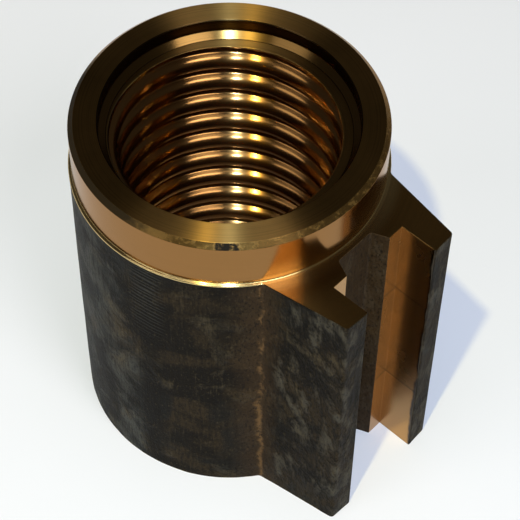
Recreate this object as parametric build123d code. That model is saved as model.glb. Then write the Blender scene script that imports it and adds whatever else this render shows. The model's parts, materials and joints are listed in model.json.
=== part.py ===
from build123d import *
import math
import os

# Safety nut that rides under the load nut on a lifting screw. It is one piece of
# bronze: a long cast profile, barrel and forked key together, cut to length, then
# faced, turned at the top to a collar, bored, threaded, and milled in the fork.
#
# Frame: the bore runs along Z. The plain end stands on z = 0, the collar is at the
# top, and the fork points along +X, with one wing on each side of the XZ plane.
# All lengths are in millimetres.

# ---------------------------------------------------------------- main sizes
length = 80.0  # plain end to collar face
body_d = 61.2  # barrel, as cast
collar_d = 60.0  # turned collar
collar_h = 11.0  # collar face down to the shoulder
collar_chamfer = 1.0  # round the collar's top edge

# ---------------------------------------------------------------- screw thread
thread_minor_d = 42.0  # across the crests
thread_pitch = 6.0  # one start, right-hand
thread_depth = 1.8  # crest to root, on the radius
thread_flank = 30.0  # each flank, in degrees from square across the axis
land_share = 0.4  # of the pitch, left on the crest
thread_start = 20.0  # degrees from +X where the crest's upper corner meets the ledge
foot_chamfer = 0.4  # where the thread runs out at the plain end

# ---------------------------------------------------------------- counterbore
ledge_depth = 4.0  # collar face down to the ledge where the thread starts
ledge_w = 1.7  # ledge left between the thread's root and the counterbore
mouth_chamfer = 0.5  # round the counterbore's mouth

# ---------------------------------------------------------------- forked key
fork_reach = 43.0  # axis to the wing tips
fork_tip_w = 29.4  # across the outer corners of the two tips
wing_root_x = 25.0  # along X, where each wing's outer face leaves the barrel
tip_rake = 0.3  # each tip's outer corner stands back by this
tip_round = 0.8  # on that corner, as cast
channel_w = 18.8  # between the milled faces of the wings
channel_depth = 8.2  # tips in to the shoulders of the channel
recess_w = 11.7  # cast recess behind the channel, at its mouth
recess_depth = 3.3  # channel's shoulders in to the recess floor
recess_draft = 24.0  # degrees each side of the recess closes toward its floor
recess_round = 0.6  # in the corners of the recess floor

# ---------------------------------------------------------------- derived sizes
body_r = body_d / 2
collar_r = collar_d / 2
shoulder_z = length - collar_h
minor_r = thread_minor_d / 2
major_r = minor_r + thread_depth
ledge_z = length - ledge_depth
counterbore_r = major_r + ledge_w
wing_root_y = math.sqrt(body_r**2 - wing_root_x**2)
channel_x = fork_reach - channel_depth
recess_x = channel_x - recess_depth
recess_floor_w = recess_w - 2 * recess_depth * math.tan(math.radians(recess_draft))
clear = 2.0  # how far a cutting shape runs past the face it opens


def closed_face(points):
    return make_face(Polyline(*points, close=True))


def turned(points):
    """A solid turned about the bore's axis from (radius, height) points."""
    face = closed_face([(r, 0, z) for r, z in points])
    return revolve(face, axis=Axis.Z)


def cast_profile():
    """The barrel and its two wings, joined into one block before milling."""
    half_tip = fork_tip_w / 2
    corner_x = fork_reach - tip_rake
    half_slot = channel_w / 2
    points = [
        (0, -wing_root_y),
        (wing_root_x, -wing_root_y),
        (corner_x, -half_tip),
        (fork_reach, -half_slot),
        (fork_reach, half_slot),
        (corner_x, half_tip),
        (wing_root_x, wing_root_y),
        (0, wing_root_y),
    ]
    block = closed_face(points)
    corners = block.vertices().filter_by(
        lambda v: abs(v.X - corner_x) < tip_rake / 2 and abs(v.Y) > half_slot
    )
    block = fillet(corners, tip_round)
    return Circle(body_r) + block


def channel_profile():
    """The milled channel, open past the tips."""
    half = channel_w / 2
    far = fork_reach + clear
    return closed_face([(channel_x, -half), (far, -half), (far, half), (channel_x, half)])


def recess_profile():
    """The cast recess behind the channel, closing toward a narrow floor."""
    mouth = recess_w / 2
    floor = recess_floor_w / 2
    outer = channel_x + clear
    points = [
        (recess_x, -floor),
        (channel_x, -mouth),
        (outer, -mouth),
        (outer, mouth),
        (channel_x, mouth),
        (recess_x, floor),
    ]
    face = closed_face(points)
    corners = face.vertices().filter_by(lambda v: abs(v.X - recess_x) < recess_round / 2)
    return fillet(corners, recess_round)


def thread_groove():
    """The helical groove, one turn of a flat-ended tool's cut repeated up the bore."""
    slope = math.tan(math.radians(thread_flank))
    half_mouth = thread_pitch * (1 - land_share) / 2
    half_root = half_mouth - thread_depth * slope
    inside = thread_depth / 4
    flare = half_mouth + inside * slope
    section = [
        (-inside, -flare),
        (thread_depth, -half_root),
        (thread_depth, half_root),
        (-inside, flare),
    ]
    # the groove's middle stands this far above the crest's upper corner
    middle = ledge_z + half_mouth - thread_pitch * thread_start / 360
    turns_below = math.ceil((middle + flare + clear) / thread_pitch)
    turns_above = math.ceil((ledge_z + flare + clear - middle) / thread_pitch)
    path = Helix(pitch=thread_pitch, height=thread_pitch, radius=minor_r)
    place = Plane(origin=(minor_r, 0, 0), x_dir=(1, 0, 0), z_dir=(0, -1, 0))
    turn = sweep(place * closed_face(section), path=path, is_frenet=True)
    return [
        Pos(0, 0, middle + i * thread_pitch) * turn for i in range(-turns_below, turns_above)
    ]


def tapped_core():
    """What the thread leaves open: a plain core with the groove's ridge on it."""
    core = turned([(0, -clear), (minor_r, -clear), (minor_r, length + clear), (0, length + clear)])
    return core + thread_groove()


def counterbore():
    """The open space over the ledge, with the chamfer round its mouth."""
    mouth_r = counterbore_r + mouth_chamfer
    return turned(
        [
            (0, ledge_z),
            (counterbore_r, ledge_z),
            (counterbore_r, length - mouth_chamfer),
            (mouth_r + clear, length + clear),
            (0, length + clear),
        ]
    )


def foot_cone():
    """The 45 degree edge where the thread runs out at the plain end."""
    foot_r = minor_r + foot_chamfer
    return turned([(0, -clear), (foot_r + clear, -clear), (0, foot_r)])


def collar():
    """The turned collar with its chamfer, on a core that runs down through the barrel."""
    return turned(
        [
            (0, 0),
            (collar_r, 0),
            (collar_r, length - collar_chamfer),
            (collar_r - collar_chamfer, length),
            (0, length),
        ]
    )


profile = cast_profile() - channel_profile() - recess_profile()
nut = extrude(profile, shoulder_z) + collar()
nut = nut - counterbore() - foot_cone() - tapped_core()

os.makedirs("parts", exist_ok=True)
export_step(nut, "parts/safety_nut.step")
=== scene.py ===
"""Safety nut of a lifting screw: its surface, its bronze finishes and a plain studio.

The file is laid out as an add-on and run as a script. Lengths are in metres, in the frame of the
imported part: the bore runs along Z, the plain end stands on z = 0 and the fork points along +X.
"""

import json
import math

import bpy
import numpy as np
from mathutils import Matrix, Vector
from mathutils.geometry import delaunay_2d_cdt


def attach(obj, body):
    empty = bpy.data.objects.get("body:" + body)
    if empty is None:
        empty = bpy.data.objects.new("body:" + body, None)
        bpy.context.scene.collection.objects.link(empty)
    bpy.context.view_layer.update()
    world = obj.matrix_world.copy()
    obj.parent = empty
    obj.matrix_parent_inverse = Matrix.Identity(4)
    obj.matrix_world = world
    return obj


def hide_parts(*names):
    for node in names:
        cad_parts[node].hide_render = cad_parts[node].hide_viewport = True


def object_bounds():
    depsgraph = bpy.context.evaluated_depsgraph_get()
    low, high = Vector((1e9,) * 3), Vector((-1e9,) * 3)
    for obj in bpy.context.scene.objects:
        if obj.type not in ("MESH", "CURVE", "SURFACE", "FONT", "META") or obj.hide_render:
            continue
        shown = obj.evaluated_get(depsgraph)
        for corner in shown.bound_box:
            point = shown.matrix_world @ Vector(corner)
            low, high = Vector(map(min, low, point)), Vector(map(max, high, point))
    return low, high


bl_info = {
    "name": "Safety nut",
    "version": (1, 0, 0),
    "blender": (4, 5, 0),
    "location": "3D View > Sidebar > Safety nut",
    "description": "Builds a threaded, forked safety nut in bronze and its studio",
    "category": "Add Mesh",
}

MM = 0.001
FULL_TURN = 2 * math.pi
CONVEX_HULL = 1  # delaunay_2d_cdt's output: triangles over the whole of the outlines' hull
SAME_PLACE = 1e-6  # millimetres between points that it takes for one
ACROSS_MARKS = 0.25  # of a turn, from along the tool marks to across them
EDGE_TINT = (0.93, 0.84, 0.75)  # of bronze, at a grazing angle

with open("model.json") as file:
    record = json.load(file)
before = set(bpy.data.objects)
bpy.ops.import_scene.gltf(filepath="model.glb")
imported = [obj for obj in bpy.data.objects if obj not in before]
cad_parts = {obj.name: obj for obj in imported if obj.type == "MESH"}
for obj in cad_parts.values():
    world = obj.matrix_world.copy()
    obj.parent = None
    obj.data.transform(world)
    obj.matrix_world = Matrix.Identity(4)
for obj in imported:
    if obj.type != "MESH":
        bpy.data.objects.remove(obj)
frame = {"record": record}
for startup in ("Cube", "Light", "Camera"):
    if startup in bpy.data.objects:
        bpy.data.objects.remove(bpy.data.objects[startup])
cad_low, cad_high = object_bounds()
mounts = {mount["name"]: mount for mount in frame["record"]["mounts"]}

# order of the nut's finishes, which is the order of its material slots
CAST, SHOULDER, BAND, CHAMFER, FACE, COUNTERBORE, THREAD, CHANNEL, PLAIN_END = range(9)


def length(name, default, description):
    """A length property, its default given in metres."""
    return bpy.props.FloatProperty(
        name=name, description=description, default=default, min=0.0, precision=5, unit="LENGTH"
    )


def angle(name, degrees, description):
    """An angle property, its default given in degrees."""
    return bpy.props.FloatProperty(
        name=name, description=description, default=math.radians(degrees), subtype="ANGLE"
    )


def amount(name, default, description, top=1.0):
    """A plain number between nothing and its top."""
    return bpy.props.FloatProperty(
        name=name, description=description, default=default, min=0.0, max=top
    )


def colour(name, default, description):
    """A colour property in linear red, green and blue."""
    return bpy.props.FloatVectorProperty(
        name=name, description=description, default=default, size=3, min=0, max=1, subtype="COLOR"
    )


def mount_radius(name):
    """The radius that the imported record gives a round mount, in metres."""
    return mounts[name]["dims"]["r_mm"] * MM


class NutSizes(bpy.types.PropertyGroup):
    """Sizes of the nut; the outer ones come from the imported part."""

    length: length("Length", cad_high[2], "Plain end to collar face")
    body_r: length("Barrel radius", cad_high[1], "Axis to the cast barrel")
    reach: length("Fork reach", cad_high[0], "Axis to the wing tips")
    shoulder_z: length("Shoulder height", mounts["shoulder"]["pos_m"][2], "Plain end to shoulder")
    collar_r: length("Collar radius", mount_radius("collar"), "Axis to the polished band")
    counterbore_r: length("Counterbore radius", mount_radius("counterbore"), "Axis to its wall")
    minor_r: length("Thread minor radius", mount_radius("screw_thread"), "Axis to the crests")
    pitch: length("Thread pitch", 6.0 * MM, "Crest to crest along the bore")
    thread_depth: length("Thread depth", 1.8 * MM, "Crest to root, on the radius")
    thread_flank: angle("Thread flank", 30, "Lean of each flank from square across the bore")
    land: length("Crest width", 2.4 * MM, "Along the bore, between sharp corners")
    crest_round: length("Crest rounding", 2.0 * MM, "On both corners of the crest")
    root_round: length("Root rounding", 0.6 * MM, "On both corners of the root")
    thread_start: angle("Thread start", 20, "From +X to where the crest's upper corner ends")
    ledge_depth: length("Ledge depth", 4.0 * MM, "Collar face down to the ledge")
    collar_chamfer: length("Collar chamfer", 1.0 * MM, "Round the collar's top edge")
    mouth_chamfer: length("Mouth chamfer", 0.2 * MM, "Round the counterbore's mouth")
    cone_h: length("Cone height", 1.2 * MM, "Sloping ring at the foot of the counterbore")
    cone_w: length("Cone width", 1.45 * MM, "Across the same ring, along the radius")
    cone_round: length("Cone rounding", 0.3 * MM, "From the counterbore's wall to the same ring")
    cone_edge: length("Cone's edge", 0.05 * MM, "From the same ring to the ledge")
    mouth_edge: length("Mouth's edge", 0.06 * MM, "From the mouth chamfer to the wall")
    turned_edge: length("Turned edges", 0.1 * MM, "Rounding of the collar's other edges")
    foot_chamfer: length("Foot chamfer", 0.4 * MM, "Where the thread runs out")
    foot_round: length("Foot rounding", 0.25 * MM, "Hollow at the collar's foot")
    wing_root_x: length("Wing root", 25.0 * MM, "Along X, where a wing leaves the barrel")
    wing_root_round: length("Wing root rounding", 1.2 * MM, "Between wing and barrel")
    tip_w: length("Width over the tips", 29.4 * MM, "Across the outer corners of the tips")
    tip_rake: length("Tip rake", 0.3 * MM, "Each tip's outer corner stands back by this")
    tip_round: length("Tip rounding", 0.8 * MM, "On each tip's outer corner")
    channel_w: length("Channel width", 18.8 * MM, "Between the milled faces")
    channel_depth: length("Channel depth", 8.2 * MM, "Tips in to the channel's shoulders")
    channel_corner: length("Channel corners", 0.02 * MM, "Left sharp by the cutter")
    channel_edge: length("Channel's edge", 0.35 * MM, "Rounding from the channel to each tip")
    recess_w: length("Recess width", 11.7 * MM, "At the recess's mouth")
    recess_depth: length("Recess depth", 3.3 * MM, "Shoulders in to the recess floor")
    recess_draft: angle("Recess draft", 24, "Each side closes toward the floor")
    recess_round: length("Recess rounding", 0.6 * MM, "In the corners of the recess floor")
    recess_edge: length("Recess's edge", 0.2 * MM, "Rounding round the recess's mouth")
    edge: length("Edge break", 0.12 * MM, "Left by a file on machined edges")
    shoulder_edge: length("Shoulder's edge", 0.3 * MM, "Rounding round the bare shoulder")
    # the painted shade along one side of the outer chamfer is placed from this bearing too
    scrape_bearing: angle("Scrape", -47.5, "Middle of the scraped patch on the chamfer, from +X")
    chatter_bearing: angle("Chatter", -77, "Middle of the strip of chatter marks, from +X")
    chatter_step: length("Chatter step", 1.05 * MM, "From one chatter mark to the next")
    upper_pass: length("Upper pass", 49.9 * MM, "Height where two cutter passes meet")
    lower_pass: length("Lower pass", 20.6 * MM, "Height where the lowest pass ends")
    skin_wave: length("Cast waviness", 0.14 * MM, "Hollows in the cast skin")


class NutColours(bpy.types.PropertyGroup):
    """Colours of the bronze, bare and as cast."""

    bronze: colour("Bronze", (0.42, 0.225, 0.065), "Bare machined bronze")
    band: colour("Band bronze", (0.31, 0.153, 0.05), "Polished band round the collar")
    # painted reflection: bright gold laid on the shoulder round the collar's foot
    foot_reflection: colour("Rubbed bronze", (0.8, 0.6, 0.27), "Round the collar's foot")
    tarnish: colour("Tarnish", (0.11, 0.066, 0.02), "Darker tool marks and old oil")
    skin_brown: colour("Skin, brown", (0.029, 0.019, 0.009), "Cast skin, warm parts")
    # grey and pale skin are laid more toward -X, partly as a painted sheen on that side
    skin_blue: colour("Skin, grey", (0.022, 0.023, 0.021), "Cast skin, cold parts")
    skin_ash: colour("Skin, ash", (0.09, 0.068, 0.039), "Dusty scale on the warm parts")
    skin_pale: colour("Skin, pale", (0.075, 0.073, 0.064), "Dusty scale on the cold parts")
    skin_worn: colour("Skin, worn", (0.16, 0.085, 0.03), "Bronze showing through the skin")
    # also laid as painted shade on the counterbore, along one side of the outer chamfer and on the
    # barrel toward +X
    skin_dark: colour("Skin, dark", (0.0055, 0.0042, 0.0028), "Between the streaks")
    skin_rust: colour("Skin, rust", (0.048, 0.027, 0.0125), "Warm stain along the creases")


class StudioSettings(bpy.types.PropertyGroup):
    """The camera, the floor and the lamps."""

    view_azimuth: angle("View azimuth", 42.23, "Camera's turn round the nut, from the -Y side")
    view_elevation: angle("View elevation", 53.81, "Camera's height over the horizon")
    view_roll: angle("View roll", 0.963, "Camera's turn about its own line of sight")
    view_distance: length("View distance", 384.6 * MM, "Camera to the point it aims at")
    view_aim: bpy.props.FloatVectorProperty(
        name="View aim",
        description="Point in the middle of the picture",
        default=(6.70 * MM, 1.61 * MM, 40.0 * MM),
        size=3,
        unit="LENGTH",
    )
    lens: bpy.props.FloatProperty(
        name="Lens", description="Focal length in millimetres", default=132.9, min=10
    )
    floor_colour: colour("Floor", (0.89, 0.85, 0.92), "Pale table top")
    room: amount("Room light", 0.06, "Strength of the grey room", 10.0)
    main: amount("Overhead lamp", 3.2, "Power of the soft lamp overhead, in watts", 1000.0)
    key: amount("Key lamp", 3.6, "Power of the small lamp by the camera, in watts", 1000.0)
    warm: amount("Warm lamp", 3.2, "Power of the small warm lamp, in watts", 1000.0)
    left: amount("Left panel", 1.2, "Power of the pale panel on the left, in watts", 1000.0)
    right: amount("Right panel", 3.36, "Power of the pale panel on the right, in watts", 1000.0)


# ------------------------------------------------------------------ surfaces
class Patch:
    """A piece of surface: its points, a normal at each, its faces and the finish of each face."""

    def __init__(self, points, normals, faces, finish):
        self.points = points
        self.normals = normals
        self.faces = faces
        self.finish = np.broadcast_to(finish, len(faces))


def grid_patch(points, normals, finish):
    """Faces of a grid: each joins a point, the next round, and the two after them along the path.

    points and normals are (rows, columns, 3). finish is one number or one for each face of the
    grid.
    """
    rows, columns = points.shape[:2]
    first = np.arange(rows - 1)[:, None] * columns + np.arange(columns - 1)
    faces = np.stack([first, first + 1, first + 1 + columns, first + columns], -1)
    finish = np.broadcast_to(finish, (rows - 1, columns - 1)).reshape(-1)
    return Patch(points.reshape(-1, 3), normals.reshape(-1, 3), faces.reshape(-1, 4), finish)


def unit(vectors):
    """Vectors scaled to length one."""
    return vectors / np.linalg.norm(vectors, axis=-1, keepdims=True)


def spokes(angles):
    """Unit vectors (cos a, sin a)."""
    return np.stack([np.cos(angles), np.sin(angles)], -1)


def along(points):
    """Distance travelled at each point of a path."""
    steps = np.linalg.norm(np.diff(points, axis=0), axis=1)
    return np.concatenate([[0.0], np.cumsum(steps)])


def rounded(corners, radii, spacing, arc_step=math.radians(15)):
    """A path through corners, each turned into an arc that touches both its sides.

    The arc starts radius * tan(turn / 2) before the corner, and its centre lies at the radius
    from the path, on the side it turns to. Normals point to the right of the path's direction.
    Returns points and normals, the straight runs divided into steps no longer than spacing.
    """
    corners = np.asarray(corners, float)
    headings = unit(np.diff(corners, axis=0))
    points, normals = [], []

    def run(start, end, right):
        count = max(1, math.ceil(np.linalg.norm(end - start) / spacing))
        share = np.linspace(0, 1, count + 1)[:, None]
        points.append(start + (end - start) * share)
        normals.append(np.repeat(right[None], count + 1, 0))

    start = corners[0]
    bends = zip(corners[1:-1], radii, headings[:-1], headings[1:])
    for corner, radius, before, after in bends:
        turn = math.atan2(before[0] * after[1] - before[1] * after[0], before @ after)
        trim = radius * math.tan(abs(turn) / 2)
        right = np.array([before[1], -before[0]])
        run(start, corner - before * trim, right)
        centre = corner - before * trim - right * math.copysign(radius, turn)
        count = max(2, math.ceil(abs(turn) / arc_step))
        swing = np.linspace(0, turn, count + 1)[1:-1, None]
        side = np.array([-right[1], right[0]])
        fan = right * np.cos(swing) + side * np.sin(swing)
        points.append(centre + fan * math.copysign(radius, turn))
        normals.append(fan)
        start = corner + after * trim
    run(start, corners[-1], np.array([headings[-1][1], -headings[-1][0]]))
    return np.concatenate(points), np.concatenate(normals)


def swept(radius, height, normal_r, normal_z, angles, rise=0.0):
    """A profile turned round the bore: (r cos a, r sin a, z + rise * a).

    rise is the climb for each radian, which leans the normal along the turn by -rise / r times
    its part along Z. Everything broadcasts to (rows, columns).
    """
    radius, height, normal_r, normal_z, a = np.broadcast_arrays(
        radius, height, normal_r, normal_z, angles
    )
    points = np.stack([radius * np.cos(a), radius * np.sin(a), height + rise * a], -1)
    lean = -rise / radius * normal_z
    side_x = normal_r * np.cos(a) - lean * np.sin(a)
    side_y = normal_r * np.sin(a) + lean * np.cos(a)
    return points, unit(np.stack([side_x, side_y, normal_z], -1))


def inside(places, outline):
    """Whether each place is in a closed outline: a ray to +X crosses it an odd number of times."""
    x, y = places[:, :1], places[:, 1:]
    a, b = outline, np.roll(outline, -1, 0)
    spans = (a[:, 1] > y) != (b[:, 1] > y)
    share = np.divide(y - a[:, 1], b[:, 1] - a[:, 1], where=spans, out=np.zeros(spans.shape))
    crossed = spans & (x < a[:, 0] + share * (b[:, 0] - a[:, 0]))
    return crossed.sum(1) % 2 == 1


def flat_cap(outer, inner, height, up, finish):
    """A level face between two closed outlines, divided into triangles that use their points."""
    outline = np.concatenate([outer, inner])
    loops = np.split(np.arange(len(outline)), [len(outer)])
    edges = np.concatenate([np.stack([loop, np.roll(loop, -1)], 1) for loop in loops])
    # the outlines are given in millimetres, because the division treats tiny lengths as nothing
    places = [Vector(p) for p in (outline / MM).tolist()]
    triangulated = delaunay_2d_cdt(places, edges.tolist(), [], CONVEX_HULL, SAME_PLACE)
    faces, origins = triangulated[2:4]
    if any(not o for o in origins):
        raise RuntimeError("an outline of a level face crosses itself")
    origin = np.array([o[0] for o in origins])
    faces = origin[np.array(faces)]
    middle = outline[faces].mean(1)
    faces = faces[inside(middle, outer) & ~inside(middle, inner)]
    a, b, c = (outline[faces[:, i]] for i in range(3))
    area = (b[:, 0] - a[:, 0]) * (c[:, 1] - a[:, 1]) - (b[:, 1] - a[:, 1]) * (c[:, 0] - a[:, 0])
    wrong = (area > 0) != up
    faces[wrong] = faces[wrong][:, ::-1]
    points = np.column_stack([outline, np.full(len(outline), height)])
    normals = np.tile([0.0, 0.0, 1.0 if up else -1.0], (len(points), 1))
    return Patch(points, normals, faces, finish)


def weld(name, patches, materials):
    """One mesh from patches whose borders share their points.

    Points at the same place become one. A four-sided face with two corners at one place becomes
    a triangle, and a face with fewer than three places left is dropped. Each corner keeps the
    normal of its own patch.
    """
    points = np.concatenate([p.points for p in patches])
    _, keep, place = np.unique(
        np.round(points / MM, 4) + 0.0, axis=0, return_index=True, return_inverse=True
    )
    place = place.reshape(-1)
    corners = {3: [], 4: []}
    start = 0
    for patch in patches:
        faces = patch.faces + start
        start += len(patch.points)
        same = place[faces] == place[np.roll(faces, -1, 1)]
        count = same.sum(1)
        width = faces.shape[1]
        whole = count == 0
        corners[width].append((faces[whole], patch.finish[whole]))
        if width == 4:
            three = count == 1
            corners[3].append((faces[three][~same[three]].reshape(-1, 3), patch.finish[three]))
    quads, quad_finish = (np.concatenate(x) for x in zip(*corners[4]))
    triangles, triangle_finish = (np.concatenate(x) for x in zip(*corners[3]))
    loops = np.concatenate([quads.reshape(-1), triangles.reshape(-1)])

    mesh = bpy.data.meshes.new(name)
    mesh.from_pydata(
        points[keep].tolist(), [], place[quads].tolist() + place[triangles].tolist()
    )
    for material in materials:
        mesh.materials.append(material)
    finish = np.concatenate([quad_finish, triangle_finish]).astype(np.int32)
    mesh.polygons.foreach_set("material_index", finish)
    mesh.polygons.foreach_set("use_smooth", np.ones(len(mesh.polygons), bool))
    mesh.update()
    normals = np.concatenate([p.normals for p in patches])
    mesh.normals_split_custom_set(normals[loops].tolist())
    if mesh.validate(verbose=False):
        raise RuntimeError(f"{name} has faces that are no faces")
    return mesh


# ------------------------------------------------------------------ the nut's shape
COLUMNS = 180  # round the bore
SIDE_STEP = 1.1 * MM  # along the cast outline
SKIN_ROWS = 47  # up the cast sides
EDGE_POINTS = 4  # over each rounded edge of the sides
HOLLOW_STEPS = 5  # along the hollow at a wing's root
HAIR = 0.02 * MM  # a strip too narrow to see, or the slack in a comparison
LEDGE_CLEAR = 0.25 * MM  # round border on the ledge, clear of where the thread breaks out


def fork_outline(s):
    """Half of the cast outline, from the recess floor's middle round the +Y wing to the back.

    The wing's outer face meets the barrel in a hollow arc: its centre is one rounding off the
    face and one rounding outside the barrel, so it solves |root + t * outward + round * normal| =
    barrel radius + round.
    """
    channel_x = s.reach - s.channel_depth
    recess_x = channel_x - s.recess_depth
    recess_floor = s.recess_w / 2 - s.recess_depth * math.tan(s.recess_draft)
    root = np.array([s.wing_root_x, math.sqrt(s.body_r**2 - s.wing_root_x**2)])
    tip = np.array([s.reach - s.tip_rake, s.tip_w / 2])
    outward = unit(tip - root)
    normal = np.array([-outward[1], outward[0]])
    offset = root + s.wing_root_round * normal
    lean = offset @ outward
    rest = offset @ offset - (s.body_r + s.wing_root_round) ** 2
    centre = offset + outward * (math.sqrt(lean**2 - rest) - lean)
    corners = [
        (recess_x, 0),
        (recess_x, recess_floor),
        (channel_x, s.recess_w / 2),
        (channel_x, s.channel_w / 2),
        (s.reach, s.channel_w / 2),
        tip,
        centre - s.wing_root_round * normal,
    ]
    radii = [s.recess_round, s.recess_edge, s.channel_corner, s.channel_edge, s.tip_round]
    points, normals = rounded(corners, radii, SIDE_STEP)

    touch = math.atan2(centre[1], centre[0])
    first, last = math.atan2(-normal[1], -normal[0]), touch - math.pi
    fan = spokes(np.linspace(first, last, HOLLOW_STEPS + 1)[1:])
    points = np.concatenate([points, centre + s.wing_root_round * fan])
    normals = np.concatenate([normals, -fan])

    count = math.ceil((math.pi - touch) * s.body_r / SIDE_STEP)
    fan = spokes(np.linspace(touch, math.pi, count + 1)[1:])
    return np.concatenate([points, s.body_r * fan]), np.concatenate([normals, fan])


def cast_outline(s):
    """The whole cast outline, closed: its half and that half's mirror image across Y."""
    points, normals = fork_outline(s)
    mirror = np.array([1.0, -1.0])
    points = np.concatenate([points, points[-2::-1] * mirror])
    normals = np.concatenate([normals, normals[-2::-1] * mirror])
    points[-1], normals[-1] = points[0], normals[0]
    return points, normals


def skin_hollows(distance, height, depth):
    """Shallow hollows of a cast skin: a sum of waves, each a whole number of times round.

    distance runs from 0 to one turn round the outline. Returns the depth below the true face.
    """
    random = np.random.default_rng(7)
    total = np.zeros(np.broadcast_shapes(distance.shape, height.shape))
    turn = distance / distance.max() * FULL_TURN
    for count, stretch in ((9, 90), (17, 60), (31, 40), (47, 26), (71, 18)):
        phase = random.uniform(0, FULL_TURN, 2)
        rise = random.choice([-1, 1]) / (stretch * MM)
        wave = np.cos(count * turn + phase[0] + 1.5 * np.sin(height * rise * FULL_TURN + phase[1]))
        total += wave / count**0.5
    low, high = total.min(), total.max()
    return depth * (total - low) / (high - low)


def sides(s):
    """The cast and milled sides: the outline carried up, its two edges rounded over.

    The skin's hollows sink along the outline's normal, and the shading normal leans by their
    slope. They fade out before the milled channel and below the shoulder.
    """
    outline, normals = cast_outline(s)
    distance = along(outline)
    lift = np.linspace(0, math.pi / 2, EDGE_POINTS)
    climb = np.linspace(s.edge, s.shoulder_z - s.edge, SKIN_ROWS)[1:-1]
    low, high = (1 - np.cos(lift))[:, None], (1 - np.cos(lift[::-1]))[:, None]
    fade = 4 * MM
    on_barrel = np.interp(outline[:, 0], [s.wing_root_x - fade, s.wing_root_x], [1, 0])
    top_edge = s.edge + (s.shoulder_edge - s.edge) * on_barrel
    level = np.ones(len(outline))
    height = np.concatenate([
        s.edge * low * level, climb[:, None] * level, s.shoulder_z - top_edge * high
    ])
    low, high = (1 - np.sin(lift))[:, None], (1 - np.sin(lift[::-1]))[:, None]
    tuck = np.concatenate([s.edge * low * level, 0 * climb[:, None] * level, top_edge * high])
    tilt = np.concatenate([-np.cos(lift), 0 * climb, np.cos(lift[::-1])])[:, None]

    channel_x = s.reach - s.channel_depth
    x, half_y = outline[:, 0], np.abs(outline[:, 1])
    in_channel = (
        (x > channel_x - s.channel_edge)
        & (half_y < s.channel_w / 2 + 2 * HAIR)
        & (half_y > s.recess_w / 2 - s.recess_edge)
    )
    cast = (~in_channel).astype(float)
    cast[-1] = cast[0]
    cast = np.convolve(np.pad(cast, 2, mode="wrap"), np.full(5, 1 / 5), "valid")
    cast = np.where(in_channel, 0.0, cast**2)
    cast[-1] = cast[0]
    trimmed = np.clip((s.shoulder_z - height) / fade, 0, 1)
    hollow = skin_hollows(distance, height, s.skin_wave) * cast * trimmed
    slope_z = np.gradient(hollow, height.mean(1), axis=0)
    slope_s = np.gradient(hollow, distance, axis=1)
    slope_s[:, [0, -1]] = 0

    flat = outline[None] - normals[None] * (hollow + tuck)[..., None]
    points = np.concatenate([flat, height[..., None]], -1)
    tangent = np.stack([-normals[:, 1], normals[:, 0]], -1)
    level = normals[None] * np.cos(np.arcsin(tilt))[..., None] + tangent[None] * slope_s[..., None]
    shading = unit(np.concatenate([level, (tilt + slope_z)[..., None]], -1))
    points[:, -1], shading[:, -1] = points[:, 0], shading[:, 0]

    milled = in_channel & (half_y > s.recess_w / 2 + s.recess_edge / 2)
    both = milled[:-1] & milled[1:]
    finish = np.where(both, CHANNEL, CAST)[None].repeat(len(height) - 1, 0)
    finish[: len(lift) - 1] = PLAIN_END
    bare = x[:-1] < s.wing_root_x
    finish[1 - len(lift) :, bare] = SHOULDER
    return grid_patch(points, shading, finish), points[0], points[-1]


def foot_radius(s):
    """Where the hollow at the collar's foot has run out on the shoulder."""
    return s.collar_r + s.foot_round + HAIR


def turned_top(s, angles, ledge_edge):
    """Everything turned above the shoulder, from the rounding at the collar's foot to the ledge.

    The profile runs up the band, over the collar's face and down the counterbore, in (r, z).
    """
    ledge_z = s.length - s.ledge_depth
    mouth_r = s.counterbore_r + s.mouth_chamfer
    corners = [
        (foot_radius(s), s.shoulder_z),
        (s.collar_r, s.shoulder_z),
        (s.collar_r, s.length - s.collar_chamfer),
        (s.collar_r - s.collar_chamfer, s.length),
        (mouth_r, s.length),
        (s.counterbore_r, s.length - s.mouth_chamfer),
        (s.counterbore_r, ledge_z + s.cone_h),
        (s.counterbore_r - s.cone_w, ledge_z),
        (ledge_edge.max() + LEDGE_CLEAR, ledge_z),
    ]
    radii = [s.foot_round, *[s.turned_edge] * 3, s.mouth_edge, s.cone_round, s.cone_edge]
    path, normals = rounded(corners, radii, 5 * MM, math.radians(10))
    columns = (path[:, :1], path[:, 1:], normals[:, :1], normals[:, 1:])
    points, shading = swept(*columns, angles[None])
    radius, height = ((path[:-1] + path[1:]) / 2).T
    finish = np.select(
        [
            height < s.shoulder_z + 0.7 * s.foot_round,
            (radius > s.collar_r - HAIR) & (height < s.length - s.collar_chamfer + HAIR),
            radius > s.collar_r - s.collar_chamfer + 1.5 * HAIR,
            (radius > mouth_r - HAIR) & (height > s.length - 2 * HAIR),
            height < ledge_z + HAIR,
        ],
        [SHOULDER, BAND, CHAMFER, FACE, THREAD],
        COUNTERBORE,
    )
    return grid_patch(points, shading, finish[:, None])


def thread_profile(s):
    """One pitch of the thread from the middle of a crest down, as (r, z) points and normals."""
    lean = s.thread_depth * math.tan(s.thread_flank)
    half_land = s.land / 2
    major_r = s.minor_r + s.thread_depth
    corners = [
        (s.minor_r, 0),
        (s.minor_r, -half_land),
        (major_r, -half_land - lean),
        (major_r, half_land + lean - s.pitch),
        (s.minor_r, half_land - s.pitch),
        (s.minor_r, -s.pitch),
    ]
    radii = [s.crest_round, s.root_round, s.root_round, s.crest_round]
    return rounded(corners, radii, s.pitch)


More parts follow.
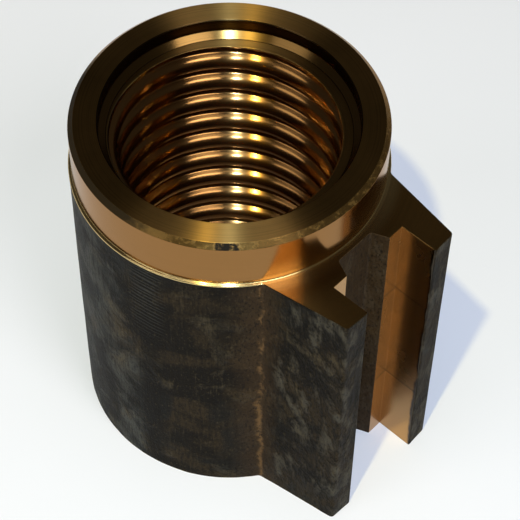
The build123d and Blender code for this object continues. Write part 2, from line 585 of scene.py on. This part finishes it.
def thread(s, angles):
    """The helical thread: its profile turned round the bore and raised one pitch a turn.

    Each turn is one pitch lower than the last. Rows that would leave the bore are held at the
    ledge or at the plain end, where the radius is read from the profile at that height, so the
    crest and the root break through both ends as a cut thread does.
    Returns the patch and the radius round its upper and lower borders.
    """
    path, normals = thread_profile(s)
    steps = len(path) - 1
    rise = s.pitch / FULL_TURN
    low, high = s.foot_chamfer, s.length - s.ledge_depth - s.edge
    crest_z = s.length - s.ledge_depth - s.land / 2 - rise * s.thread_start
    turns = math.ceil((crest_z + s.pitch) / s.pitch) + 1
    radius = np.tile(path[:-1, 0], turns)[:, None]
    drop = np.concatenate([path[:-1, 1] - i * s.pitch for i in range(turns)])[:, None]
    side_r, side_z = (np.tile(normals[:-1, i], turns)[:, None] for i in (0, 1))

    height = crest_z + s.pitch + drop + rise * angles[None]
    held = np.clip(height, low, high)
    phase = np.mod(crest_z + rise * angles[None] - held, s.pitch)
    free = held == height
    radius = np.where(free, radius, np.interp(phase, -path[:, 1], path[:, 0]))
    side_r = np.where(free, side_r, np.interp(phase, -path[:, 1], normals[:, 0]))
    side_z = np.where(free, side_z, np.interp(phase, -path[:, 1], normals[:, 1]))
    points, shading = swept(radius, held - rise * angles[None], side_r, side_z, angles[None], rise)
    # the last column is the first one, a turn further up
    points[steps:, -1], shading[steps:, -1] = points[:-steps, 0], shading[:-steps, 0]
    points[:steps, -1], shading[:steps, -1] = points[0, 0], shading[0, 0]
    upper, lower = np.hypot(*points[0, :, :2].T), np.hypot(*points[-1, :, :2].T)
    return grid_patch(points, shading, THREAD), upper, lower


def ring(inner, outer, lower, upper, tilt, angles, finish):
    """A narrow strip round the bore between two borders, each with its radius and height.

    tilt is the lean of the normals from level toward +Z on each border.
    """
    radius = np.stack([outer, inner])
    height = np.array([[upper], [lower]])
    tilt = np.asarray(tilt)[:, None]
    points, shading = swept(radius, height, -np.cos(tilt), np.sin(tilt), angles[None])
    return grid_patch(points, shading, finish)


def nut_patches(s):
    """All the nut's surface, patch by patch, in the order it is met going up and in."""
    angles = np.linspace(0, FULL_TURN, COLUMNS + 1)
    ledge_z = s.length - s.ledge_depth
    wall, foot, top = sides(s)
    bore, upper, lower = thread(s, angles)
    turned = turned_top(s, angles, upper)
    rim = np.full(len(angles), upper.max() + LEDGE_CLEAR)
    ledge = ring(upper + s.edge, rim, ledge_z, ledge_z, [math.pi / 2] * 2, angles, FACE)
    lip = ring(upper, upper + s.edge, ledge_z - s.edge, ledge_z, [math.pi / 2, 0], angles, CHAMFER)
    open_r = np.maximum(lower, s.minor_r + s.foot_chamfer)
    foot_edge = ring(open_r, lower, 0.0, s.foot_chamfer, [0, -math.pi / 4], angles, THREAD)
    circle = spokes(angles[:-1])
    shoulder = flat_cap(top[:-1, :2], foot_radius(s) * circle, s.shoulder_z, True, SHOULDER)
    plain_end = flat_cap(foot[:-1, :2], open_r[:-1, None] * circle, 0.0, False, PLAIN_END)
    return [wall, shoulder, turned, ledge, lip, bore, foot_edge, plain_end]


# ------------------------------------------------------------------ finishes
# shares, noise levels and lump sizes were chosen
class Finish:
    """A material written node by node. Each call returns the new node's first output."""

    def __init__(self, name):
        self.material = bpy.data.materials.new(name)
        self.material.use_nodes = True
        self.tree = self.material.node_tree
        self.tree.nodes.clear()
        self.shader = self.tree.nodes.new("ShaderNodeBsdfPrincipled")
        surface = self.tree.nodes.new("ShaderNodeOutputMaterial")
        self.tree.links.new(self.shader.outputs["BSDF"], surface.inputs["Surface"])
        self.place = self.tree.nodes.new("ShaderNodeTexCoord").outputs["Object"]

    def put(self, socket, value):
        """Links a socket to an output, or sets its value."""
        if isinstance(value, bpy.types.NodeSocket):
            self.tree.links.new(value, socket)
        elif socket.type == "RGBA":
            socket.default_value = (*value, 1.0)
        else:
            socket.default_value = value

    def node(self, kind, settings=None, **inputs):
        """Adds a node, with its settings and its inputs by name or, as in0, by place."""
        node = self.tree.nodes.new("ShaderNode" + kind)
        for key, value in (settings or {}).items():
            setattr(node, key, value)
        for key, value in inputs.items():
            numbered = key.startswith("in") and key[2:].isdigit()
            self.put(node.inputs[int(key[2:]) if numbered else key.replace("_", " ")], value)
        return node.outputs[0]

    def math(self, operation, a, b=0.0, c=0.0):
        """One sum on numbers."""
        return self.node("Math", {"operation": operation}, in0=a, in1=b, in2=c)

    def times(self, a, b, plus=0.0):
        """A product, with something added to it."""
        return self.math("MULTIPLY_ADD", a, b, plus)

    def gap(self, a, b):
        """How far two numbers lie apart."""
        return self.math("ABSOLUTE", self.math("SUBTRACT", a, b))

    def rest(self, share):
        """What a share leaves of the whole."""
        return self.math("SUBTRACT", 1.0, share)

    def between(self, value, low, high, start=0.0, end=1.0):
        """A smooth step from start to end while value goes from low to high."""
        settings = {"interpolation_type": "SMOOTHSTEP"}
        return self.node("MapRange", settings, Value=value, in1=low, in2=high, in3=start, in4=end)

    def mix(self, share, a, b):
        """Two colours, mixed."""
        node = self.tree.nodes.new("ShaderNodeMix")
        node.data_type = "RGBA"
        for index, value in ((0, share), (6, a), (7, b)):
            self.put(node.inputs[index], value)
        return node.outputs[2]

    def scaled(self, place, scale):
        """A place with each direction scaled."""
        return self.node("VectorMath", {"operation": "MULTIPLY"}, in0=place, in1=scale)

    def noise(self, lump, detail=3.0, roughness=0.55, distortion=0.0, place=None):
        """Cloudy noise in lumps of so many millimetres along X, Y and Z."""
        place = self.scaled(place or self.place, [1 / (side * MM) for side in lump])
        return self.node(
            "TexNoise", Vector=place, Scale=1.0, Detail=detail, Roughness=roughness,
            Distortion=distortion,
        )

    def line_noise(self, value, lump, detail=2.0, roughness=0.6):
        """Noise along one length, in lumps of so many millimetres, for rings and lines."""
        return self.node(
            "TexNoise", {"noise_dimensions": "1D"}, W=self.times(value, 1 / (lump * MM)),
            Scale=1.0, Detail=detail, Roughness=roughness,
        )

    def part(self, axis):
        """The place's X, Y or Z."""
        split = self.tree.nodes.new("ShaderNodeSeparateXYZ")
        self.put(split.inputs[0], self.place)
        return split.outputs[axis]

    def radius(self):
        """Distance from the bore's axis."""
        node = self.tree.nodes.new("ShaderNodeVectorMath")
        node.operation = "LENGTH"
        self.put(node.inputs[0], self.scaled(self.place, (1, 1, 0)))
        return node.outputs["Value"]

    def bearing(self):
        """Angle round the bore from +X, in radians."""
        return self.math("ARCTAN2", self.part("Y"), self.part("X"))

    def bump(self, height, distance):
        """Raises the surface by height times distance, in metres."""
        normal = self.node("Bump", Height=height, Distance=distance, Strength=1.0)
        self.put(self.shader.inputs["Normal"], normal)

    def brushed(self, anisotropy):
        """Stretches highlights across tool marks that run round the bore, along (-y, x, 0)."""
        marks = self.node(
            "VectorMath", {"operation": "CROSS_PRODUCT"}, in0=(0, 0, 1), in1=self.place
        )
        self.set(Tangent=marks, Anisotropic=anisotropy, Anisotropic_Rotation=ACROSS_MARKS)

    def tint(self, share, over):
        """Lays another colour over the shader's own."""
        under = self.shader.inputs["Base Color"].links[0].from_socket
        self.set(Base_Color=self.mix(share, under, over))

    def set(self, **inputs):
        """Sets the shader's own sockets."""
        for key, value in inputs.items():
            self.put(self.shader.inputs[key.replace("_", " ")], value)


def turned_metal(
    name, colours, stained, roughness, anisotropy, *, polished=False, rings=0.2, ring_mm=0.35,
    groove=0.0,
):
    """Bare bronze with the concentric rings of a lathe tool.

    Rings are noise on the distance from the axis plus the height, so that they run round level
    and upright faces alike. stained is how much of the stain shows in clouds, and rings is how
    much more of it shows in the dark rings than in the pale ones.
    """
    f = Finish(name)
    bare = colours.band if polished else colours.bronze
    across = f.math("ADD", f.radius(), f.part("Z"))
    fine = f.line_noise(across, ring_mm)
    cloud = f.noise((14, 14, 14), 4.0)
    veil = f.times(cloud, 0.8 * stained, 0.2 * stained)
    veil = f.math("ADD", veil, f.between(fine, 0.35, 0.7, -rings / 2, rings / 2))
    rough = f.times(cloud, 0.08, roughness - 0.04)
    f.set(
        Base_Color=f.mix(veil, bare, colours.tarnish), Roughness=rough, Metallic=1.0,
        Specular_Tint=EDGE_TINT,
    )
    if groove:
        f.bump(fine, groove)
    f.brushed(anisotropy)
    return f


def turned_shoulder(colours, s):
    """The shoulder, with a painted reflection in bright gold round the collar's foot."""
    f = turned_metal(
        "turned_shoulder", colours, stained=0.6, roughness=0.2, anisotropy=1.0, ring_mm=0.3,
        groove=0.004 * MM,
    )
    # painted reflection: a ring next to the collar's foot is tinted bright gold, fading outward
    out = f.math("SUBTRACT", f.radius(), s.collar_r)
    near = f.between(out, 0.65 * MM, 0.9 * MM, 1.0, 0.5)
    f.tint(f.times(near, f.between(out, 0.9 * MM, 4.0 * MM, 1.0, 0.0)), colours.foot_reflection)
    return f


def counterbore_ring(colours, s):
    """The counterbore: a wall painted dark as shade, over a sloping ring that catches the lamps.
    """
    f = turned_metal("turned_counterbore", colours, stained=0.5, roughness=0.2, anisotropy=0.6)
    # painted shade: skin_dark laid over the counterbore, 0.6 of it on the ring and 0.9 up the wall
    wall_shade = f.between(f.radius(), s.counterbore_r - 0.15 * MM, s.counterbore_r, 0.6, 0.9)
    f.tint(wall_shade, colours.skin_dark)
    return f


def scuffed_chamfer(colours, s):
    """The outer chamfer: knocked metal, painted shade along one side, with a dark scraped patch.
    """
    clean = 0.2
    f = turned_metal("turned_chamfer", colours, stained=0.8, roughness=clean, anisotropy=0.4)
    knocks = f.noise((1.6, 1.6, 0.9), 6.0, 0.66, 0.4)
    aside = f.math("SUBTRACT", f.bearing(), s.scrape_bearing)
    ragged = f.times(knocks, 0.35, aside)
    # painted shade: the chamfer is darkened over a range of bearings to one side of the scrape
    side_shade = f.times(f.between(ragged, -2.1, -1.7), f.between(ragged, -0.5, -0.1, 0.95, 0.0))
    scuff = f.between(knocks, 0.48, 0.8, 0.05, 0.8)
    patch = f.times(knocks, 0.06, f.math("ABSOLUTE", aside))
    patch = f.between(patch, 0.09, 0.115, 1.0, 0.0)
    scrape = f.times(patch, f.between(knocks, 0.6, 0.5, 0.2, 1.0))
    dark = f.math("MAXIMUM", f.math("MAXIMUM", scuff, side_shade), scrape)
    f.tint(dark, colours.skin_dark)
    f.set(Metallic=f.rest(dark), Specular_IOR_Level=0.1, Roughness=f.times(dark, 0.35, clean))
    f.bump(knocks, 0.03 * MM)
    return f


def cast_skin(colours, s):
    """The foundry skin: clouds of brown and grey scale under faint upright streaks.

    Broad clouds choose between brown and grey, dark and pale. Grey and pale come more often
    toward -X, a painted sheen on that side, and darker clouds lie on the barrel toward +X, more of
    them higher up, as painted shade. On the wings, cracks and pale ridges like bark lean toward
    the tips. A crooked line of bare metal runs up each crease where a wing leaves the barrel, and
    one upright strip below the collar has level chatter marks.
    """
    f = Finish("cast_skin")
    x, z = f.part("X"), f.part("Z")
    on_wing = f.between(x, s.wing_root_x, s.wing_root_x + 4 * MM)
    # the side toward -X, where grey and pale skin are painted as sheen
    sheen_side = f.between(x, -10 * MM, 14 * MM, 1.0, 0.0)

    # clouds; grey and pale laid more toward -X are painted sheen, darker clouds toward +X painted
    # shade
    drift = f.noise((16, 16, 16), 4.0, 0.55, 0.8)
    cold = f.between(f.times(sheen_side, 0.3, drift), 0.52, 0.7)
    base = f.mix(cold, colours.skin_brown, colours.skin_blue)
    cloud = f.noise((13, 13, 10), 5.0, 0.56, 0.5)
    base = f.mix(f.between(cloud, 0.57, 0.43, 0.0, 0.9), base, colours.skin_dark)
    # painted shade: darker clouds on the barrel toward +X, more of them higher up
    shade_clouds = f.times(f.between(z, 20 * MM, 60 * MM), 0.16, drift)
    shade_clouds = f.times(f.between(shade_clouds, 0.5, 0.66, 0.0, 0.7), f.rest(sheen_side))
    shade_clouds = f.times(shade_clouds, f.rest(on_wing))
    patch = f.noise((9, 9, 11), 6.0, 0.6, 0.5)
    # painted sheen: pale patches come more often toward -X
    patch = f.between(f.times(sheen_side, 0.1, patch), 0.54, 0.7, 0.0, 0.75)
    base = f.mix(patch, base, f.mix(cold, colours.skin_ash, colours.skin_pale))

    # faint upright streaks
    fine = f.noise((0.5, 0.5, 6), 6.0, 0.66, 0.2)
    base = f.mix(f.between(fine, 0.54, 0.36, 0.0, 0.6), base, colours.skin_dark)
    base = f.mix(f.between(fine, 0.56, 0.74, 0.0, 0.3), base, colours.skin_ash)
    # painted shade: the darker clouds from above, laid in skin_dark
    base = f.mix(shade_clouds, base, colours.skin_dark)

    # bark on the wings
    leaning = f.node("CombineXYZ", X=f.times(z, 0.2, x), Y=f.part("Y"), Z=z)
    bark = f.noise((3.0, 3.0, 8), 7.0, 0.66, 0.2, leaning)
    ridge = f.times(f.between(bark, 0.5, 0.66), on_wing)
    crack = f.times(f.between(f.gap(bark, 0.5), 0.004, 0.03, 1.0, 0.0), on_wing)
    scale = f.mix(cloud, colours.skin_ash, colours.skin_pale)
    base = f.mix(f.times(ridge, 0.7), base, scale)
    base = f.mix(f.times(crack, 0.8), base, colours.skin_dark)

    # chatter marks, and the dark strip that they run down into
    strip = f.gap(f.bearing(), s.chatter_bearing)
    strip = f.between(f.times(cloud, 0.1, strip), 0.07, 0.2, 1.0, 0.0)
    base = f.mix(f.times(strip, 0.85), base, colours.skin_dark)
    marks = f.times(strip, f.between(z, 44 * MM, 60 * MM))
    waver = f.line_noise(z, 2.5, 2.0)
    lines = f.times(f.bearing(), 2.5, f.math("DIVIDE", z, s.chatter_step))
    lines = f.math("SINE", f.times(f.math("ADD", lines, waver), FULL_TURN))
    lines = f.times(marks, f.between(lines, -0.2, 0.9))
    base = f.mix(f.times(lines, 0.4), base, colours.skin_pale)

    # the creases and rubbed places
    waver = f.line_noise(z, 8, 4.0, 0.55)
    crease = f.gap(x, f.times(waver, 4 * MM, s.wing_root_x - 2 * MM))
    near = f.between(crease, 0.0, 5.0 * MM, 1.0, 0.0)
    base = f.mix(f.times(near, 0.7), base, colours.skin_rust)
    rub = f.noise((1.6, 1.6, 3.0), 6.0, 0.7, 0.8)
    fades = f.between(z, 10 * MM, 66 * MM, 0.12, -0.04)
    line = f.between(crease, 0.0, 0.7 * MM, 1.0, 0.0)
    line = f.times(line, f.between(f.math("ADD", rub, fades), 0.46, 0.64, 0.05, 0.9))
    rub = f.between(f.times(near, 0.1, rub), 0.68, 0.84, 0.0, 0.3)
    worn = f.math("MAXIMUM", line, rub)
    base = f.mix(worn, base, colours.skin_worn)

    # inside the fork the skin is smooth and brown black
    half = s.recess_w / 2
    inner = f.between(f.math("ABSOLUTE", f.part("Y")), half, half + 1 * MM, 1.0, 0.0)
    inner = f.times(inner, on_wing)
    base = f.mix(f.times(inner, 0.75), base, colours.skin_rust)

    # fine grain over all of it
    grain = f.noise((0.5, 0.5, 0.9), 4.0, 0.7)
    base = f.mix(f.between(grain, 0.56, 0.7, 0.0, 0.4), base, colours.skin_ash)
    base = f.mix(f.between(grain, 0.48, 0.36, 0.0, 0.8), base, colours.skin_dark)
    rough, metal = f.times(grain, 0.3, 0.36), f.times(worn, 0.5)
    f.set(Base_Color=base, Roughness=rough, Metallic=metal, Specular_IOR_Level=0.03)
    scaly = f.times(f.times(on_wing, f.rest(inner)), bark)
    relief = f.times(grain, 0.4, f.times(fine, 0.4))
    for form, share in ((scaly, 4.0), (lines, 0.6), (patch, 0.6)):
        relief = f.times(form, share, relief)
    f.bump(relief, 0.25 * MM)
    return f


def milled_channel(colours, s):
    """The channel's cutter marks: fine level lines and two dark ones where passes meet.

    The lowest pass is a little cleaner, and the cast skin laps over the tips in a ragged edge.
    """
    f = Finish("milled_channel")
    x, z = f.part("X"), f.part("Z")
    lines = f.line_noise(z, 0.5, 3.0)
    cloud = f.noise((9, 9, 14), 4.0)
    veil = f.between(cloud, 0.4, 0.7, 0.0, 0.25)
    veil = f.times(f.between(lines, 0.35, 0.7), 0.12, veil)
    over = f.math("SUBTRACT", z, s.lower_pass)
    veil = f.times(veil, f.between(over, -0.2 * MM, 0.2 * MM, 0.3, 1.0))
    for height in (s.upper_pass, s.lower_pass):
        line = f.between(f.gap(z, height), 0.1 * MM, 0.35 * MM, 0.6, 0.0)
        veil = f.math("ADD", veil, line)
    base = f.mix(veil, colours.bronze, colours.tarnish)
    ragged = f.noise((4, 4, 6), 6.0, 0.6)
    lap = f.times(ragged, 2.0 * MM, f.math("SUBTRACT", x, s.reach))
    stained = f.between(lap, 0.0, 0.7 * MM)
    lap = f.between(lap, 0.6 * MM, 0.9 * MM)
    skin = f.mix(f.between(ragged, 0.45, 0.65), colours.skin_rust, colours.skin_brown)
    base = f.mix(lap, f.mix(stained, base, colours.skin_dark), skin)
    rough = f.times(lap, 0.4, f.times(cloud, 0.12, 0.2))
    f.set(Base_Color=base, Roughness=rough, Metallic=f.rest(lap))
    f.bump(lines, 0.001 * MM)
    return f


def nut_finishes(colours, s):
    """The nine finishes, in the order of their numbers."""
    order = {
        CAST: cast_skin(colours, s),
        SHOULDER: turned_shoulder(colours, s),
        BAND: turned_metal(
            "polished_band", colours, stained=0.3, roughness=0.17, anisotropy=0.3,
            polished=True, rings=0.05, ring_mm=0.5,
        ),
        CHAMFER: scuffed_chamfer(colours, s),
        FACE: turned_metal(
            "turned_face", colours, stained=1.0, roughness=0.35, anisotropy=1.0,
            rings=0.16, ring_mm=0.3, groove=0.008 * MM,
        ),
        COUNTERBORE: counterbore_ring(colours, s),
        THREAD: turned_metal(
            "cut_thread", colours, stained=0.2, roughness=0.17, anisotropy=0.9,
            polished=True, rings=0.1, ring_mm=0.6,
        ),
        CHANNEL: milled_channel(colours, s),
        PLAIN_END: turned_metal(
            "faced_end", colours, stained=0.7, roughness=0.3, anisotropy=0.8,
            rings=0.3, ring_mm=0.5, groove=0.004 * MM,
        ),
    }
    return [order[i].material for i in sorted(order)]


# ------------------------------------------------------------------ operators
class BuildNut(bpy.types.Operator):
    """Builds the nut's whole surface with its finishes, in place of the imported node"""

    bl_idname = "safety_nut.build_nut"
    bl_label = "Nut"

    def execute(self, context):
        sizes, colours = context.scene.nut_sizes, context.scene.nut_colours
        mesh = weld("nut_body", nut_patches(sizes), nut_finishes(colours, sizes))
        nut = bpy.data.objects.new("nut_body", mesh)
        context.scene.collection.objects.link(nut)
        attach(nut, "root")
        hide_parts("safety_nut")
        return {"FINISHED"}


LAMP_AIM = Vector((0, 0, 60 * MM))  # inside the bore, a little under the shoulder


def hang_lamp(scene, name, power, size, offset, tint):
    """Hangs a round lamp at that offset from the bore and aims it back there."""
    data = bpy.data.lights.new(name, "AREA")
    data.shape, data.size, data.energy, data.color = "DISK", size, power, tint
    light = bpy.data.objects.new(name, data)
    light.location = LAMP_AIM + offset
    light.rotation_euler = (-offset).to_track_quat("-Z", "Y").to_euler()
    scene.collection.objects.link(light)


def view_back(azimuth, elevation):
    """Unit vector from an aim toward a viewer at that azimuth and elevation."""
    level = math.cos(elevation)
    return Vector((math.sin(azimuth) * level, -math.cos(azimuth) * level, math.sin(elevation)))


class BuildStudio(bpy.types.Operator):
    """Lays the pale floor, lights the grey room and hangs the soft lamps"""

    bl_idname = "safety_nut.build_studio"
    bl_label = "Studio"

    def execute(self, context):
        scene, studio = context.scene, context.scene.nut_studio
        half = 3.0
        mesh = bpy.data.meshes.new("floor")
        corners = [(half * x, half * y, 0) for x, y in ((-1, -1), (1, -1), (1, 1), (-1, 1))]
        mesh.from_pydata(corners, [], [(0, 1, 2, 3)])
        floor = bpy.data.objects.new("floor", mesh)
        scene.collection.objects.link(floor)
        paint = Finish("floor_paint")
        cloud = paint.noise((60, 60, 60), 3.0)
        shade = tuple(0.97 * c for c in studio.floor_colour)
        base = paint.mix(cloud, tuple(studio.floor_colour), shade)
        paint.set(Base_Color=base, Roughness=0.8, Specular_IOR_Level=0.2)
        mesh.materials.append(paint.material)

        world = bpy.data.worlds.new("room")
        world.use_nodes = True
        background = world.node_tree.nodes["Background"]
        background.inputs["Color"].default_value = (1, 1, 1, 1)
        background.inputs["Strength"].default_value = studio.room
        scene.world = world

        # power, size, bearing from the camera, elevation, distance and tint; degrees and metres
        white = (1.0, 1.0, 1.0)
        lamps = {
            "overhead": (studio.main, 0.8, 0, 85, 1.3, (0.85, 0.92, 1.0)),
            "key_lamp": (studio.key, 0.04, 1, 55, 0.75, (0.64, 0.84, 1.0)),
            "warm_lamp": (studio.warm, 0.03, -21, 64, 0.9, (1.0, 0.9, 0.35)),
            "right_panel": (studio.right, 0.46, 35, 52, 1.2, white),
            "left_panel": (studio.left, 0.5, -55, 46, 1.2, white),
        }
        for name, (power, size, bearing, elevation, distance, tint) in lamps.items():
            azimuth = studio.view_azimuth + math.radians(bearing)
            back = view_back(azimuth, math.radians(elevation))
            hang_lamp(scene, name, power, size, back * distance, tint)
        scene.view_settings.view_transform = "Standard"
        return {"FINISHED"}


class PlaceCamera(bpy.types.Operator):
    """Places the camera that the picture is taken with"""

    bl_idname = "safety_nut.place_camera"
    bl_label = "Camera"

    def execute(self, context):
        scene, studio = context.scene, context.scene.nut_studio
        data = bpy.data.cameras.new("camera")
        data.sensor_width, data.lens = 36.0, studio.lens
        data.clip_start, data.clip_end = 0.01, 20.0
        camera = bpy.data.objects.new("camera", data)
        back = view_back(studio.view_azimuth, studio.view_elevation)
        roll = Matrix.Rotation(studio.view_roll, 3, "Z")
        turn = back.to_track_quat("Z", "Y").to_matrix() @ roll
        place = Vector(studio.view_aim) + back * studio.view_distance
        camera.matrix_world = Matrix.Translation(place) @ turn.to_4x4()
        scene.collection.objects.link(camera)
        scene.camera = camera
        return {"FINISHED"}


class NutPanel(bpy.types.Panel):
    """Lists the nut's builders and their settings"""

    bl_idname = "VIEW3D_PT_safety_nut"
    bl_label = "Safety nut"
    bl_space_type = "VIEW_3D"
    bl_region_type = "UI"
    bl_category = "Safety nut"

    def draw(self, context):
        scene = context.scene
        for operator in OPERATORS:
            self.layout.operator(operator.bl_idname)
        for group in (scene.nut_sizes, scene.nut_colours, scene.nut_studio):
            box = self.layout.box()
            for name in group.bl_rna.properties.keys():
                if name not in ("rna_type", "name"):
                    box.prop(group, name)


OPERATORS = (PlaceCamera, BuildNut, BuildStudio)
GROUPS = {"nut_sizes": NutSizes, "nut_colours": NutColours, "nut_studio": StudioSettings}


def register():
    """Registers the classes and hangs the settings on the scene."""
    for cls in (*GROUPS.values(), *OPERATORS, NutPanel):
        bpy.utils.register_class(cls)
    for name, group in GROUPS.items():
        setattr(bpy.types.Scene, name, bpy.props.PointerProperty(type=group))


def unregister():
    """Takes off all that register put on."""
    for name in GROUPS:
        delattr(bpy.types.Scene, name)
    for cls in reversed((*GROUPS.values(), *OPERATORS, NutPanel)):
        bpy.utils.unregister_class(cls)


def main():
    """Builds the scene."""
    register()
    bpy.ops.safety_nut.place_camera()
    bpy.ops.safety_nut.build_nut()
    bpy.ops.safety_nut.build_studio()
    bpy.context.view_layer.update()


if __name__ == "__main__":
    main()
